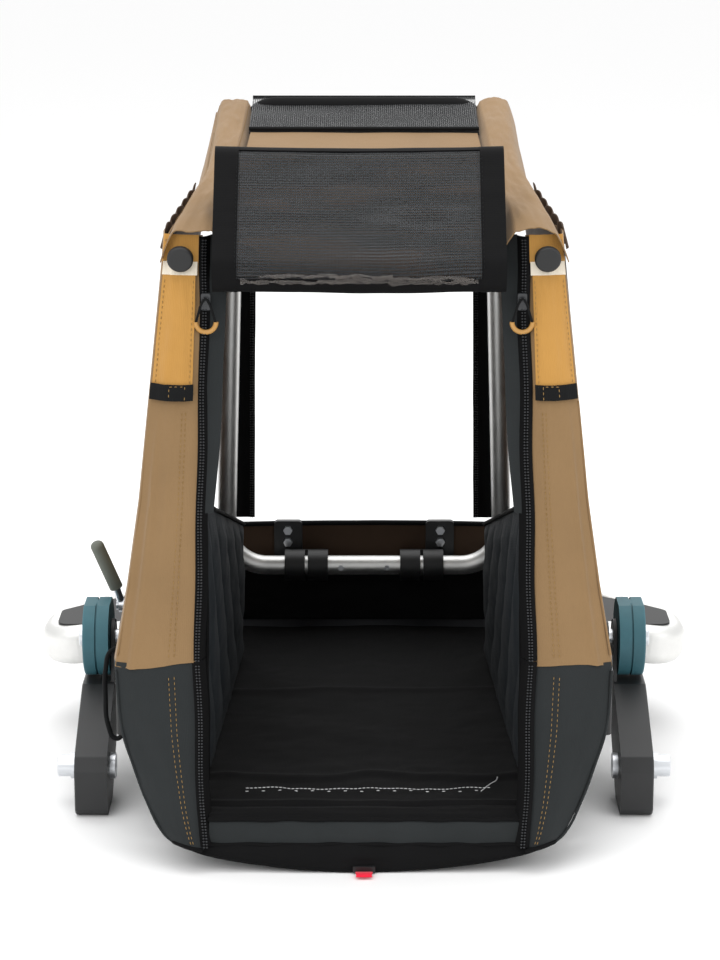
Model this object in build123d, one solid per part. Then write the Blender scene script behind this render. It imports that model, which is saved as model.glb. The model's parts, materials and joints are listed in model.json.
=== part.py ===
"""Single child bicycle trailer, cabin and chassis, with its wheels, drawbar and seat taken off.

Millimetres, +Z up. The trailer rests at Z 0 on its belly and on the ends of its swing arms. +Y is the
towing end and -Y the entry end, whose cover is rolled up. The origin lies on the ground in the middle
of the bounding box.

An aluminium lower frame carries a fabric tub, two swing arms on elastomer pads, and a folding upper frame:
a hoop at the towing end, a roof frame hinged to its top, and two posts beside the entry.
"""

from build123d import *
import os
from math import atan2, cos, radians, sin

os.makedirs("parts", exist_ok=True)

# ---------------------------------------------------------------- driving dimensions
RUNNING = 0.05          # radial clearance of a pin in its hole

RAIL_OD = 25.4          # main frame tube
RAIL_WALL = 2.0
RAIL_X = 248.0          # side rail centre, from the middle plane
RAIL_Z = 165.0          # height of the lower frame
RAIL_NEAR_Y = -302.0
RAIL_FAR_Y = 407.0
FAR_CROSS_Y = 340.0     # cross tube at the towing end

SOCKET_W = 38.0         # corner socket beside the entry
SOCKET_L = 44.0
SOCKET_Z = (140.0, 186.0)

SILL_OD = 20.0          # bent tube under the entry
SILL_Y = -366.0
SILL_Z = 34.0
SILL_X = 165.0

TUB_BOTTOM_Z = 0.0
TUB_TOP_Z = 139.0
TUB_BOTTOM_X = 184.0
TUB_TOP_X = 234.0
TUB_NEAR_Y = -300.0
TUB_FAR_Y = 330.0
TUB_WALL = 4.0

FLOOR_Z = 50.0          # underside of the floor board
FLOOR_T = 6.0
FLOOR_X = 217.0
FLOOR_NEAR_Y = -350.0
MAT_T = 5.0
SKIRT_T = 3.0           # fabric walls
PAD_T = 14.0            # quilted pads inside the cabin

HOOP_OD = 25.0
HOOP_PIVOT = (285.0, 142.0)     # Y and Z of the hoop's lower run, which is its fold axis
HOOP_LOW_X = 180.0
HOOP_TOP_X = 158.0
HOOP_TOP = (207.0, 745.0)
HOOP_BEND = 52.0
CLAMP_X = (47.0, 103.0)         # the hoop's clamp, inner and outer end
BOLT_X = 100.0                  # plate bolts, from the middle plane

ROOF_OD = 18.0
ROOF_HINGE = (211.0, 716.0)     # Y and Z of the roof frame's hinge
ROOF_FAR_X = 120.0              # roof side tube at the hoop and at the entry
ROOF_NEAR_X = 144.0
ROOF_NEAR = (-214.0, 660.0)
ROOF_PIN_R = 4.0
COVER_Z = (226.0, 640.0)        # lower and upper end of the pillar cover
SLIDER = (-168.3, -265.8, 600.0)
SLEEVE_T = 20.0                 # fabric sleeve on the roof's side tube
ROOF_SHEET_T = 3.0

POST_OD = 22.0
POST_FOOT = Vector(-246.0, -322.0, 206.0)
POST_HEAD = Vector(-205.0, -236.0, 640.0)
PIN_R = 4.0                     # pin of the post's foot
EYE_R = 13.0

ARM_INNER_X = 290.0     # swing arm, inner face
ARM_WIDTH = 37.0
PIVOT = (-88.0, 168.0)  # Y and Z of the swing arm's axis
AXLE = (-186.0, 44.0)   # Y and Z of the wheel axle socket
PIVOT_BOLT_R = 8.0
PAD_R = 45.5
PAD_X = (295.0, 325.0)
SHANK_R = 11.0          # axle socket inside the arm
COLLAR_R = 15.0
AXLE_BORE_R = 6.4       # takes a 12.7 mm wheel axle

GUARD_Z = 106.0
GUARD_TALL = 48.0
GUARD_WIDE = 30.0
GUARD_X = 382.0         # centreline of the guard tube, outermost
GUARD_Y = (58.0, 232.0)


# ---------------------------------------------------------------- helpers
def mirrored(shape):
    """The same piece on the right-hand side."""
    return shape.mirror(Plane.YZ)


def rod(points, od, bend=0.0):
    """A solid round bar along straight runs joined by arcs."""
    path = Line(*points) if len(points) == 2 else FilletPolyline(*points, radius=bend)
    section = Plane(origin=path @ 0, z_dir=path % 0) * Circle(od / 2)
    return sweep(section, path=path)


def tube(points, od, wall, bend=0.0):
    """A hollow round tube along straight runs joined by arcs."""
    return rod(points, od, bend) - rod(points, od - 2 * wall, bend)


def bar_x(y, z, r, x0, x1):
    """A cylinder along X from x0 to x1."""
    return Pos((x0 + x1) / 2, y, z) * Rot(0, 90, 0) * Cylinder(r, abs(x1 - x0))


def bar_y(x, z, r, y0, y1):
    """A cylinder along Y from y0 to y1."""
    return Pos(x, (y0 + y1) / 2, z) * Rot(90, 0, 0) * Cylinder(r, abs(y1 - y0))


def block(x0, x1, y0, y1, z0, z1):
    """A box given by its lowest and highest corner."""
    return Pos((x0 + x1) / 2, (y0 + y1) / 2, (z0 + z1) / 2) * Box(abs(x1 - x0), abs(y1 - y0), abs(z1 - z0))


def side_plate(outline, x0, x1):
    """A face drawn in Y and Z, extruded from x0 to x1."""
    face = Plane(origin=(min(x0, x1), 0, 0), x_dir=(0, 1, 0), z_dir=(1, 0, 0)) * outline
    return extrude(face, amount=abs(x1 - x0))


def closed(points):
    """A face from a closed run of straight edges."""
    return make_face(Polyline(*points, close=True))


def link(a, b, ra, rb):
    """The outline of a flat link: two discs and the belt round them."""
    along = atan2(b[1] - a[1], b[0] - a[0])
    side = (-sin(along), cos(along))
    belt = closed([
        (a[0] + side[0] * ra, a[1] + side[1] * ra),
        (b[0] + side[0] * rb, b[1] + side[1] * rb),
        (b[0] - side[0] * rb, b[1] - side[1] * rb),
        (a[0] - side[0] * ra, a[1] - side[1] * ra),
    ])
    return belt + Pos(*a) * Circle(ra) + Pos(*b) * Circle(rb)


made = {}


def keep(name, *shapes):
    """Stores one node: a single solid, or a group of separate solids."""
    made[name] = shapes[0] if len(shapes) == 1 else Compound(children=list(shapes))


def keep_both(name, *shapes):
    """Stores pieces of the left side and their mirror images in one node, as separate solids."""
    keep(name, *shapes, *[mirrored(shape) for shape in shapes])


def keep_pair(name, shape):
    """Stores the left piece and its mirror image, each in a node of its own."""
    keep(name + "_left", shape)
    keep(name + "_right", mirrored(shape))


# ---------------------------------------------------------------- lower frame
def build_lower_frame():
    """Side rails, cross tube, corner sockets, sill tube, hoop feet and end plugs."""
    rail = tube([(-RAIL_X, RAIL_NEAR_Y, RAIL_Z), (-RAIL_X, RAIL_FAR_Y, RAIL_Z)], RAIL_OD, RAIL_WALL)
    keep_both("side_rails", rail)

    bore = bar_y(-RAIL_X, RAIL_Z, RAIL_OD / 2, RAIL_NEAR_Y, RAIL_FAR_Y)
    cross = bar_x(FAR_CROSS_Y, RAIL_Z, RAIL_OD / 2, -RAIL_X, RAIL_X)
    cross -= bar_x(FAR_CROSS_Y, RAIL_Z, RAIL_OD / 2 - RAIL_WALL, -RAIL_X, RAIL_X)
    keep("far_cross_tube", cross - bore - mirrored(bore))

    # End plugs close the rails where a drawbar or a bumper is pushed in.
    plug = bar_y(-RAIL_X, RAIL_Z, RAIL_OD / 2, RAIL_FAR_Y, RAIL_FAR_Y + 4)
    plug += bar_y(-RAIL_X, RAIL_Z, RAIL_OD / 2 - RAIL_WALL, RAIL_FAR_Y - 22, RAIL_FAR_Y)
    keep_both("rail_plugs", fillet(plug.edges().sort_by(Axis.Y)[-1], 1.5))

    # Corner socket: a block on the rail's end with two ears for the post's pin.
    sill_path = [(-RAIL_X, -322, 162), (-RAIL_X, -322, 110), (-SILL_X, SILL_Y, SILL_Z),
                 (SILL_X, SILL_Y, SILL_Z), (RAIL_X, -322, 110), (RAIL_X, -322, 162)]
    sill = tube(sill_path, SILL_OD, RAIL_WALL, bend=38)
    socket = block(-RAIL_X - SOCKET_W / 2, -RAIL_X + SOCKET_W / 2,
                   RAIL_NEAR_Y - SOCKET_L, RAIL_NEAR_Y, *SOCKET_Z)
    socket = fillet(socket.edges().filter_by(Axis.Z), 5)
    socket += bar_y(-RAIL_X, RAIL_Z, RAIL_OD / 2 - RAIL_WALL, RAIL_NEAR_Y, RAIL_NEAR_Y + 30)
    socket -= Pos(-RAIL_X, -322, 151 - 20) * Cylinder(SILL_OD / 2, 62)
    foot_x = POST_FOOT.X
    for x0, x1 in ((foot_x - 19, foot_x - 12), (foot_x + 12, foot_x + 19)):
        ear = block(x0, x1, POST_FOOT.Y - EYE_R, POST_FOOT.Y + EYE_R, SOCKET_Z[1] - 1, POST_FOOT.Z)
        ear += bar_x(POST_FOOT.Y, POST_FOOT.Z, EYE_R, x0, x1)
        socket += ear
    socket -= bar_x(POST_FOOT.Y, POST_FOOT.Z, PIN_R, foot_x - 30, foot_x + 30)
    keep_both("corner_sockets", socket)
    keep("sill_tube", sill)
    pin = bar_x(POST_FOOT.Y, POST_FOOT.Z, PIN_R, foot_x - 19, foot_x + 19)
    pin += bar_x(POST_FOOT.Y, POST_FOOT.Z, 7, foot_x - 22, foot_x - 19)
    keep_both("post_pins", pin)

    # Plates on the cross tube carry the clamps in which the hoop's lower run turns.
    y, z = HOOP_PIVOT
    x0, x1 = CLAMP_X
    front = FAR_CROSS_Y - RAIL_OD / 2
    plate = block(-x1 - 15, -x1 + 22, front - 9, front, z + 2, z + 50)
    plate = fillet(plate.edges().filter_by(Axis.Y), 5)
    plate -= bar_x(FAR_CROSS_Y, RAIL_Z, RAIL_OD / 2, -RAIL_X, RAIL_X)
    for bolt_z in (z + 22, z + 38):
        plate -= bar_y(-BOLT_X, bolt_z, 3, front - 20, front + 20)
    keep_both("hoop_plates", plate)
    clamp = side_plate(link((y, z), (front - 9, z), 20, 12), -x1, -x0)
    clamp -= block(-x1 - 1, -x0 + 1, front - 9, front + 40, z - 40, z + 40)
    clamp += block(-x1, -x0, front - 22, front - 9, z - 20, z + 12)
    clamp -= bar_x(y, z, HOOP_OD / 2 + RUNNING, -RAIL_X, 0)
    clamp -= block(-(x0 + x1) / 2 - 2, -(x0 + x1) / 2 + 2, y - 30, y + 10, z - 30, z + 30)
    keep_both("hoop_clamps", clamp)
    bolts = []
    for side in (-1, 1):
        for bolt_z in (z + 22, z + 38):
            x = side * BOLT_X
            head = Pos(x, front - 9 - 2.5, bolt_z) * Rot(90, 0, 0) * extrude(RegularPolygon(6, 6), amount=2.5, both=True)
            bolts.append(head + bar_y(x, bolt_z, 3, front - 9, front - 1))
    keep("plate_bolts", *bolts)


# ---------------------------------------------------------------- swing arms
def build_swing_arms():
    """Brackets, pivot bolts, arms, elastomer pads and the sockets for the wheel axles."""
    y, z = PIVOT
    face = -RAIL_X - RAIL_OD / 2
    bracket = side_plate(closed([(y - 34, RAIL_Z - 34), (y + 52, RAIL_Z - 34), (y + 52, RAIL_Z + 22),
                                 (y + 24, RAIL_Z + 34), (y - 34, RAIL_Z + 34)]), -279, face + 3)
    bracket = fillet(bracket.edges().filter_by(Axis.X), 6)
    bracket += bar_x(y, z, 17, -285, -270)
    bracket -= bar_y(-RAIL_X, RAIL_Z, RAIL_OD / 2, -400, 400)
    bracket -= bar_x(y, z, PIVOT_BOLT_R, -300, -200)
    keep_both("suspension_brackets", bracket)

    bolt = bar_x(y, z, PIVOT_BOLT_R, -328, face - 0.5)
    bolt += bar_x(y, z, 12, -332, -328)
    bolt = fillet(bolt.edges().group_by(Axis.X)[0], 1.2)
    keep_both("pivot_bolts", bolt)

    outer = -ARM_INNER_X - ARM_WIDTH
    beam = side_plate(closed([(y - 36, 121), (y + 38, 121), (y + 34, 92), (AXLE[0] + 26, 10),
                              (AXLE[0] + 10, 1.0), (AXLE[0] - 44, 1.0), (AXLE[0] - 50, 8),
                              (AXLE[0] - 50, 54), (AXLE[0] - 42, 70)]), outer, -ARM_INNER_X)
    beam = fillet(beam.edges().filter_by(Axis.X), 4)
    cheek = side_plate(link((y, z), (y, 112), 20, 30), -294, -ARM_INNER_X)
    arm = beam + cheek - bar_x(y, z, PIVOT_BOLT_R + RUNNING, -340, -200)
    arm -= bar_x(*AXLE, SHANK_R, -400, -200)
    keep_pair("swing_arm", chamfer(arm.edges().group_by(Axis.X)[0], 1.5))

    # The pad is a thick elastomer disc with a flat top, pressed round the pivot.
    pad = bar_x(y, z, PAD_R, -PAD_X[1], -PAD_X[0]) - block(-400, -200, y - 80, y + 80, z + 42, z + 80)
    pad -= block(-400, -200, y - 80, y + 80, 60, 121)
    pad -= bar_x(y, z, PIVOT_BOLT_R + RUNNING, -400, -200)
    pad -= bar_x(y, z, PAD_R + 5, -311, -309) - bar_x(y, z, PAD_R - 3, -311, -309)
    keep_pair("elastomer_pad", fillet(pad.edges().group_by(Axis.X)[0], 2))

    sleeve = bar_x(*AXLE, SHANK_R, outer, -ARM_INNER_X) + bar_x(*AXLE, COLLAR_R, outer - 8, outer)
    sleeve += bar_x(*AXLE, 12.5, outer - 23, outer - 8)
    sleeve -= bar_x(*AXLE, AXLE_BORE_R, -400, -200)
    sleeve = fillet(sleeve.edges().group_by(Axis.X)[0], 1)
    nut = bar_x(*AXLE, COLLAR_R, -ARM_INNER_X, -ARM_INNER_X + 6) - bar_x(*AXLE, AXLE_BORE_R, -400, -200)
    keep("axle_sleeve_left", sleeve, nut)
    keep("axle_sleeve_right", mirrored(sleeve), mirrored(nut))


# ---------------------------------------------------------------- wheel guards
def guard_face(grow):
    """The triangle inside the guard tube, grown outward by grow."""
    inner = -RAIL_X - RAIL_OD / 2
    near, far = GUARD_Y
    points = [(inner, near - grow), (-GUARD_X - grow, near - grow), (-GUARD_X - grow, near + 40),
              (inner, far + grow)]
    return closed(points)


def build_guards():
    """A flattened guard tube on each side, and the black panel that fills it."""
    inner = -RAIL_X - RAIL_OD / 2
    near, far = GUARD_Y
    path = FilletPolyline((inner + 14, near, GUARD_Z + 12), (-GUARD_X, near, GUARD_Z),
                          (-GUARD_X + 4, near + 66, GUARD_Z), (inner + 14, far, GUARD_Z + 12), radius=30)
    section = Plane(origin=path @ 0, x_dir=(0, 1, 0), z_dir=path % 0)
    rim = sweep(section * RectangleRounded(GUARD_WIDE, GUARD_TALL, GUARD_WIDE / 2 - 1), path=path)
    rail = bar_y(-RAIL_X, RAIL_Z, RAIL_OD / 2, -400, 400)
    rim -= rail
    keep_both("guard_tubes", rim)

    # A saddle under the rail holds the guard tube's two ends.
    saddle = block(inner - 2, inner + 22, near - 20, near + 20, GUARD_Z - 14, RAIL_Z)
    saddle += block(inner - 2, inner + 22, far - 20, far + 20, GUARD_Z - 14, RAIL_Z)
    saddle += block(inner + 4, inner + 22, near - 20, far + 20, RAIL_Z - 26, RAIL_Z - 10)
    saddle = saddle - rim - rail
    keep_both("guard_saddles", saddle)

    panel = extrude(Plane.XY.offset(GUARD_Z + 20.5) * make_face(FilletPolyline(
        (inner + 2, near + 4), (-GUARD_X + 6, near + 4), (-GUARD_X + 6, near + 60), (inner + 2, far - 6),
        radius=14, close=True)), amount=7)
    keep_both("guard_panels", (panel - rim - rail - saddle).solids().sort_by(SortBy.VOLUME)[-1])


# ---------------------------------------------------------------- brake lever
def build_brake_lever():
    """The parking brake's lever, at the left side only: bracket, pin, steel rod and soft grip."""
    x, y, z = -284.0, -28.0, 186.0
    bracket = block(x + 3, -RAIL_X - RAIL_OD / 2 + 2, y - 8, y + 16, z - 26, z + 4)
    bracket += bar_x(y, z, 9, x + 3, x + 10) + block(x + 3, x + 10, y - 9, y + 9, z - 20, z)
    bracket -= bar_y(-RAIL_X, RAIL_Z, RAIL_OD / 2, -400, 400)
    bracket -= bar_x(y, z, 3, x - 40, x + 40)
    keep("brake_bracket", bracket - block(-300, -250, PIVOT[0] - 34, PIVOT[0] + 52.5, 100, 250))
    pin = bar_x(y, z, 3, x - 8, x + 10) + bar_x(y, z, 5.2, x - 10, x - 8)
    keep("brake_pin", pin)
    arm = bar_x(y, z, 8, x - 7, x + 2) + rod([(x - 3.5, y, z), (x - 10, y - 5, z + 26)], 9)
    arm -= bar_x(y, z, 3 + RUNNING, x - 40, x + 40)
    arm -= bar_x(y, z, 6, x - 14, x - 7.5)
    keep("brake_lever", arm)
    grip = rod([(x - 9.5, y - 4.6, z + 24.2), (x - 31, y - 20, z + 84)], 16)
    grip = fillet(grip.edges().group_by(Axis.Z)[-1], 6) - arm
    keep("brake_grip", grip.solids().sort_by(SortBy.VOLUME)[-1])


# ---------------------------------------------------------------- folding frame
def along(a, b, t):
    """The point a share t of the way from a to b."""
    return a + (b - a) * t


def build_hoop():
    """The closed hoop, the window's edge bands on it, and the two screws in its lower run."""
    (y0, z0), (y1, z1) = HOOP_PIVOT, HOOP_TOP
    run = [(0, y0, z0), (-HOOP_LOW_X, y0, z0), (-HOOP_TOP_X, y1, z1), (0, y1, z1)]
    half = rod(run, HOOP_OD, HOOP_BEND) - rod(run, HOOP_OD - 2 * RAIL_WALL, HOOP_BEND)
    hoop = half + mirrored(half)
    hoop -= bar_x(*ROOF_HINGE, ROOF_PIN_R, -RAIL_X, RAIL_X)
    pin = bar_x(*ROOF_HINGE, ROOF_PIN_R, -HOOP_TOP_X - 12, -ROOF_FAR_X + 6)
    pin += bar_x(*ROOF_HINGE, 7, -HOOP_TOP_X - 14, -HOOP_TOP_X - 12)
    screws = [bar_y(x, z0, 3.5, y0 - HOOP_OD / 2 - 1.5, y0 - HOOP_OD / 2 + 6) for x in (-30, 30)]
    for screw in screws:
        hoop -= screw
    keep("hoop_tube", hoop)
    keep("hoop_fasteners", pin, mirrored(pin), *screws)
    a, b = Vector(-HOOP_LOW_X + 15, y0 + 6, z0 + 70), Vector(-HOOP_TOP_X + 10, y1 + 22, z1 - 60)
    band = loft([face_at(p, 17, 3) for p in (a, b)], ruled=True)
    keep_both("window_bands", band)


def face_at(point, width, depth):
    """A level rectangle, width along X and depth along Y."""
    return Plane.XY.offset(point.Z) * Pos(point.X, point.Y) * Rectangle(width, depth)


def build_roof():
    """The roof's bent tube with its hinge eyes, sleeves, fabric, mesh strip and rolled-up cover."""
    (fy, fz), (ny, nz) = ROOF_HINGE, ROOF_NEAR
    path = [(-ROOF_FAR_X, fy - 8, fz - 1), (-ROOF_NEAR_X, ny, nz), (ROOF_NEAR_X, ny, nz), (ROOF_FAR_X, fy - 8, fz - 1)]
    frame = rod(path, ROOF_OD, 30) - rod(path, ROOF_OD - 2 * RAIL_WALL, 30)
    for side in (-1, 1):
        x = side * ROOF_FAR_X
        frame += bar_x(fy, fz, 10, x - 6, x + 6)
    frame -= bar_x(fy, fz, ROOF_PIN_R + RUNNING, -RAIL_X, RAIL_X)
    keep("roof_tube", frame)

    slope = (fz - nz) / (fy - ny)
    top = ROOF_OD / 2 + 0.2

    def roof_z(y):
        return nz + slope * (y - ny)

    sections = []
    for y, x0, x1 in ((182, -153, -ROOF_FAR_X - 2), (-196, -153, -ROOF_NEAR_X + 14)):
        z = roof_z(y) + top
        sections.append(Plane(origin=(0, y, 0), x_dir=(1, 0, 0), z_dir=(0, -1, 0)) * closed(
            [(x0, z), (x0 + 3, z + SLEEVE_T - 4), (x0 + 7, z + SLEEVE_T), (x1 - 7, z + SLEEVE_T),
             (x1 - 3, z + SLEEVE_T - 5), (x1, z)]))
    keep_both("roof_sleeves", loft(sections, ruled=True))

    def sheet(y0, y1, x, lift):
        """A sloping sheet across the roof, between two Y values."""
        z0, z1 = roof_z(y0) + top + lift, roof_z(y1) + top + lift
        return extrude(Plane(origin=(-x, 0, 0), x_dir=(0, 1, 0), z_dir=(1, 0, 0)) * closed(
            [(y0, z0), (y1, z1), (y1, z1 + ROOF_SHEET_T), (y0, z0 + ROOF_SHEET_T)]), amount=2 * x)

    inner = ROOF_FAR_X + 1.5
    keep("roof_mesh", sheet(97, 181, inner, 0))
    keep("roof_panel", sheet(-190, 96.5, inner, 0))

    # The rolled cover lies on the near end of the roof and hangs over its cross tube.
    roll_axis = [(-189.0, 739.0), (-276.0, 635.0)]
    (ay, az), (by, bz) = roll_axis
    sy, sz = (bz - az), -(by - ay)
    length = (sy * sy + sz * sz) ** 0.5
    sy, sz = sy / length * 22, sz / length * 22
    outline = closed([(ay + sy, az + sz), (by + sy, bz + sz), (by - sy, bz - sz), (ay - sy, az - sz)])
    outline += Pos(ay, az) * Circle(22) + Pos(by, bz) * Circle(22)
    keep("cover_roll", side_plate(outline, -153, 150))


def build_posts():
    """The entry posts, with feet, covers, zips, sliders, straps and buttons."""
    foot, head = POST_FOOT, POST_HEAD
    start = along(foot, head, 0.07)
    post = rod([tuple(start), tuple(head)], POST_OD)
    post -= rod([tuple(along(foot, head, 0.12)), tuple(head)], POST_OD - 2 * RAIL_WALL)
    keep_both("post_tubes", post)
    shoe = bar_x(foot.Y, foot.Z, EYE_R - 0.5, foot.X - 11, foot.X + 11)
    shoe += rod([tuple(foot), tuple(start)], POST_OD - 1)
    shoe -= bar_x(foot.Y, foot.Z, PIN_R + RUNNING, foot.X - 40, foot.X + 40)
    crown = Plane(origin=tuple(head), z_dir=tuple(head - foot)) * Pos(0, 0, 3.5) * Cylinder(POST_OD / 2, 7)
    keep_both("post_plugs", shoe, fillet(crown.edges().sort_by(Axis.Z)[-1], 3))

    core = rod([tuple(along(foot, head, -0.02)), tuple(along(foot, head, 1.1))], POST_OD)
    low, high = COVER_Z
    cover = loft([
        Plane.XY.offset(low) * closed([(-181, -346), (-232, -346), (-270, -306),
                                       (-263, -290), (-226, -300), (-184, -334)]),
        Plane.XY.offset(high) * closed([(-172, -248), (-206, -254), (-221, -232),
                                        (-216, -219), (-196, -221), (-174, -240)]),
    ], ruled=True)
    keep_both("pillar_covers", cover - core)
    zip_points = [Vector(-175.5, -343, low), Vector(-167.5, -247, high)]
    keep_both("zips_upper", loft([face_at(p, 9, 7) for p in zip_points], ruled=True))

    def on_cover(z0, z1, lift, inner, outer, thick):
        """A band across the front of the cover between two heights."""
        faces = []
        for z in (z0, z1):
            t = (z - low) / (high - low)
            x0, y0 = -181 + 9 * t - inner, -346 + 98 * t - lift
            x1, y1 = -232 + 26 * t + outer, -346 + 92 * t - lift
            faces.append(Plane.XY.offset(z) * closed([(x0, y0), (x0, y0 - thick), (x1, y1 - thick), (x1, y1)]))
        return loft(faces, ruled=True)

    keep_both("ochre_straps", on_cover(515, 664, 1.6, 10, 1, 3) - cover)
    keep_both("webbing_loops", on_cover(498, 514.5, 1.6, 9, -3, 4.5) - cover)
    lean = 12.5
    button = Pos(-195, -264.5, 645) * Rot(90 + lean, 0, 0) * Cylinder(14, 7)
    keep_both("frame_buttons", fillet(button.edges().sort_by(Axis.Y)[0], 2.5))

    # Zip sliders with their pulls, at the top of their travel.
    x, y, z = SLIDER
    slider = fillet(block(x - 5, x + 5, y - 3, y + 3, z - 9, z + 9).edges().filter_by(Axis.Y), 2)
    slider += bar_x(y - 4, z + 3, 2, x - 2.5, x + 2.5)
    keep_pair("zip_slider", slider)
    y -= 7.6
    cord = rod([(x - 11, y, z - 20), (x - 2.5, y, z + 3), (x + 2.5, y, z + 3), (x + 11, y, z - 20)], 2.4, 2.4)
    keep_pair("pull_cord", cord)
    ring = Pos(x, y, z - 20.7) * Rot(90, 0, 0) * Torus(11, 2.6)
    ring -= block(x - 40, x + 40, y - 20, y + 20, z - 20.7, z + 40)
    keep_pair("ring_pull", ring)


# ---------------------------------------------------------------- cabin
def tub_outline(inset):
    """The tub's cross-section, drawn in X and Z, set in by a wall."""
    x0, x1, z0, z1 = TUB_BOTTOM_X - inset * 0.8, TUB_TOP_X - inset, TUB_BOTTOM_Z + inset, TUB_TOP_Z
    half = [(x0, z0), (x0 + 22, z0 + 18), (x1 - 6, z0 + 58), (x1, z1)]
    if inset:
        half[-1] = (x1, z1 + 5)
    return closed(half + [(-x, z) for x, z in reversed(half)])


def across_y(face, y0, y1):
    """A face drawn in X and Z, extruded from y0 to y1."""
    return extrude(Plane(origin=(0, y1, 0), x_dir=(1, 0, 0), z_dir=(0, -1, 0)) * face, amount=y1 - y0)


def build_tub():
    """The fabric tub, its floor, mat, side pads, sill, apron, buckle and pull tab."""
    tub = across_y(tub_outline(0), TUB_NEAR_Y, TUB_FAR_Y)
    tub -= across_y(tub_outline(TUB_WALL), TUB_NEAR_Y - 1, TUB_FAR_Y - TUB_WALL)
    tub += block(-SILL_X, SILL_X, -352, TUB_NEAR_Y, TUB_BOTTOM_Z, TUB_BOTTOM_Z + TUB_WALL)
    keep("tub_fabric", tub)
    floor = block(-FLOOR_X, FLOOR_X, TUB_NEAR_Y, TUB_FAR_Y - 9, FLOOR_Z, FLOOR_Z + FLOOR_T)
    floor += block(-SILL_X, SILL_X, FLOOR_NEAR_Y, TUB_NEAR_Y, FLOOR_Z, FLOOR_Z + FLOOR_T)
    keep("floor_board", floor)
    mat_z = FLOOR_Z + FLOOR_T + 0.3
    mat = block(-205, 205, TUB_NEAR_Y + 2, 262, mat_z, mat_z + MAT_T)
    mat += block(-SILL_X + 2, SILL_X - 2, FLOOR_NEAR_Y, TUB_NEAR_Y + 2, mat_z, mat_z + MAT_T)
    keep("floor_mat", mat)
    base = mat_z + MAT_T + 0.3
    ends = []
    for y, x_low, x_high, top in ((-280, -186, -172, 379), (150, -166, -151, 235)):
        ends.append(Plane(origin=(0, y, 0), x_dir=(1, 0, 0), z_dir=(0, -1, 0)) * closed(
            [(x_low, base), (x_low + PAD_T, base), (x_high, top), (x_high - PAD_T, top)]))
    keep_both("side_pads", loft(ends, ruled=True))

    sill = side_plate(closed([(-382.5, 14), (-376.8, 14), (-376.8, 45), (-351, 50), (-351, 60),
                              (-376, 61), (-382.5, 56)]), -SILL_X + 1, SILL_X - 1)
    keep("entry_sill", sill)
    apron = side_plate(closed([(-388, 12.5), (-377, 12.5), (-353, 5), (-353, 1), (-382, 1), (-389, 6)]), -172, 172)
    keep("apron", apron)
    keep("buckle", block(-12, 12, -397, -389.2, 1.5, 8.5))
    keep("pull_tab", block(-9, 9, -411, -397.5, 0.4, 3.4))


def build_walls():
    """Side walls, skirts, entry corners, zips below the fold, and the panel at the towing end."""
    top_near, top_far = (-222, 652), (222, 742)
    wall = loft([
        make_face(Polyline((-271, -299.3, 216), (-268, -299.3, 216), (-222.5, *top_near), (-225.5, *top_near), close=True)),
        make_face(Polyline((-268, 306, 216), (-265, 306, 216), (-184.5, *top_far), (-187.5, *top_far), close=True)),
    ], ruled=True)
    keep_both("side_walls", wall)

    x = -RAIL_X - RAIL_OD / 2 - 0.5
    skirt = block(x - SKIRT_T, x, TUB_NEAR_Y + 2, 312, TUB_TOP_Z - 1, 215)
    y = PIVOT[0]
    skirt -= block(-300, -240, y - 35, y + 53, 100, 205)
    skirt -= block(-300, -240, GUARD_Y[0] - 24, GUARD_Y[0] + 24, 100, 166)
    skirt -= block(-300, -240, GUARD_Y[1] - 24, GUARD_Y[1] + 24, 100, 166)
    skirt -= block(-300, -240, -40, 260, 100, 168)
    left = skirt - block(-300, -240, -38, -10, 100, 198)
    keep("skirts", left, mirrored(skirt))

    z0 = COVER_Z[0] - 0.5
    corner = loft([
        Plane.XY.offset(z0) * closed([(-181, -346), (-232, -346), (-270, -306),
                                      (-263, -300), (-226, -303), (-184, -334)]),
        Plane.XY.offset(70) * closed([(-172, -378), (-208, -376), (-240, -334),
                                      (-232, -306), (-200, -350), (-176, -368)]),
    ], ruled=True)
    corner += loft([
        Plane.XY.offset(70) * closed([(-172, -378), (-208, -376), (-240, -334),
                                      (-232, -306), (-200, -350), (-176, -368)]),
        Plane.XY.offset(6) * closed([(-173, -388), (-180, -388), (-196, -366),
                                     (-190, -340), (-182, -352), (-175, -372)]),
    ], ruled=True)
    corner -= rod([(-RAIL_X, -322, 162), (-RAIL_X, -322, 110), (-SILL_X, SILL_Y, SILL_Z), (0, SILL_Y, SILL_Z)],
                  SILL_OD + 0.4, 38)
    corner -= block(-275, -223, -347, -250, SOCKET_Z[0] - 0.5, 300)
    corner -= block(-SILL_X, 0, -400, -300, 0, 300)
    keep_both("entry_corners", corner.solids().sort_by(SortBy.VOLUME)[-1])
    zip_low = loft([face_at(p, 9, 7) for p in (Vector(-170.5, -388, 24), Vector(-176, -351, z0))], ruled=True)
    keep_both("zips_lower", zip_low - corner)

    front = FAR_CROSS_Y - RAIL_OD / 2
    panel = block(-168, 168, front - 5, front - 2, FLOOR_Z + FLOOR_T + 0.5, 188)
    for side in (-1, 1):
        x = side * (CLAMP_X[0] + CLAMP_X[1]) / 2
        panel -= block(x - 50.5, x + 50.5, 300, 340, HOOP_PIVOT[1] - 21, HOOP_PIVOT[1] + 51)
    keep("far_panel", panel)

    x = -RAIL_X - RAIL_OD / 2 - 0.5 - SKIRT_T
    loop = rod([(x - 0.9, -206, 192), (x - 20, -214, 190), (x - 21, -224, 92), (x - 8, -226, 84), (x - 3.2, -222, 150)],
               5.0, 6)
    keep("side_loop", loop)


build_lower_frame()
build_swing_arms()
build_guards()
build_brake_lever()
build_hoop()
build_roof()
build_posts()
build_tub()
build_walls()

for node, shape in made.items():
    export_step(shape, "parts/" + node + ".step")
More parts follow.
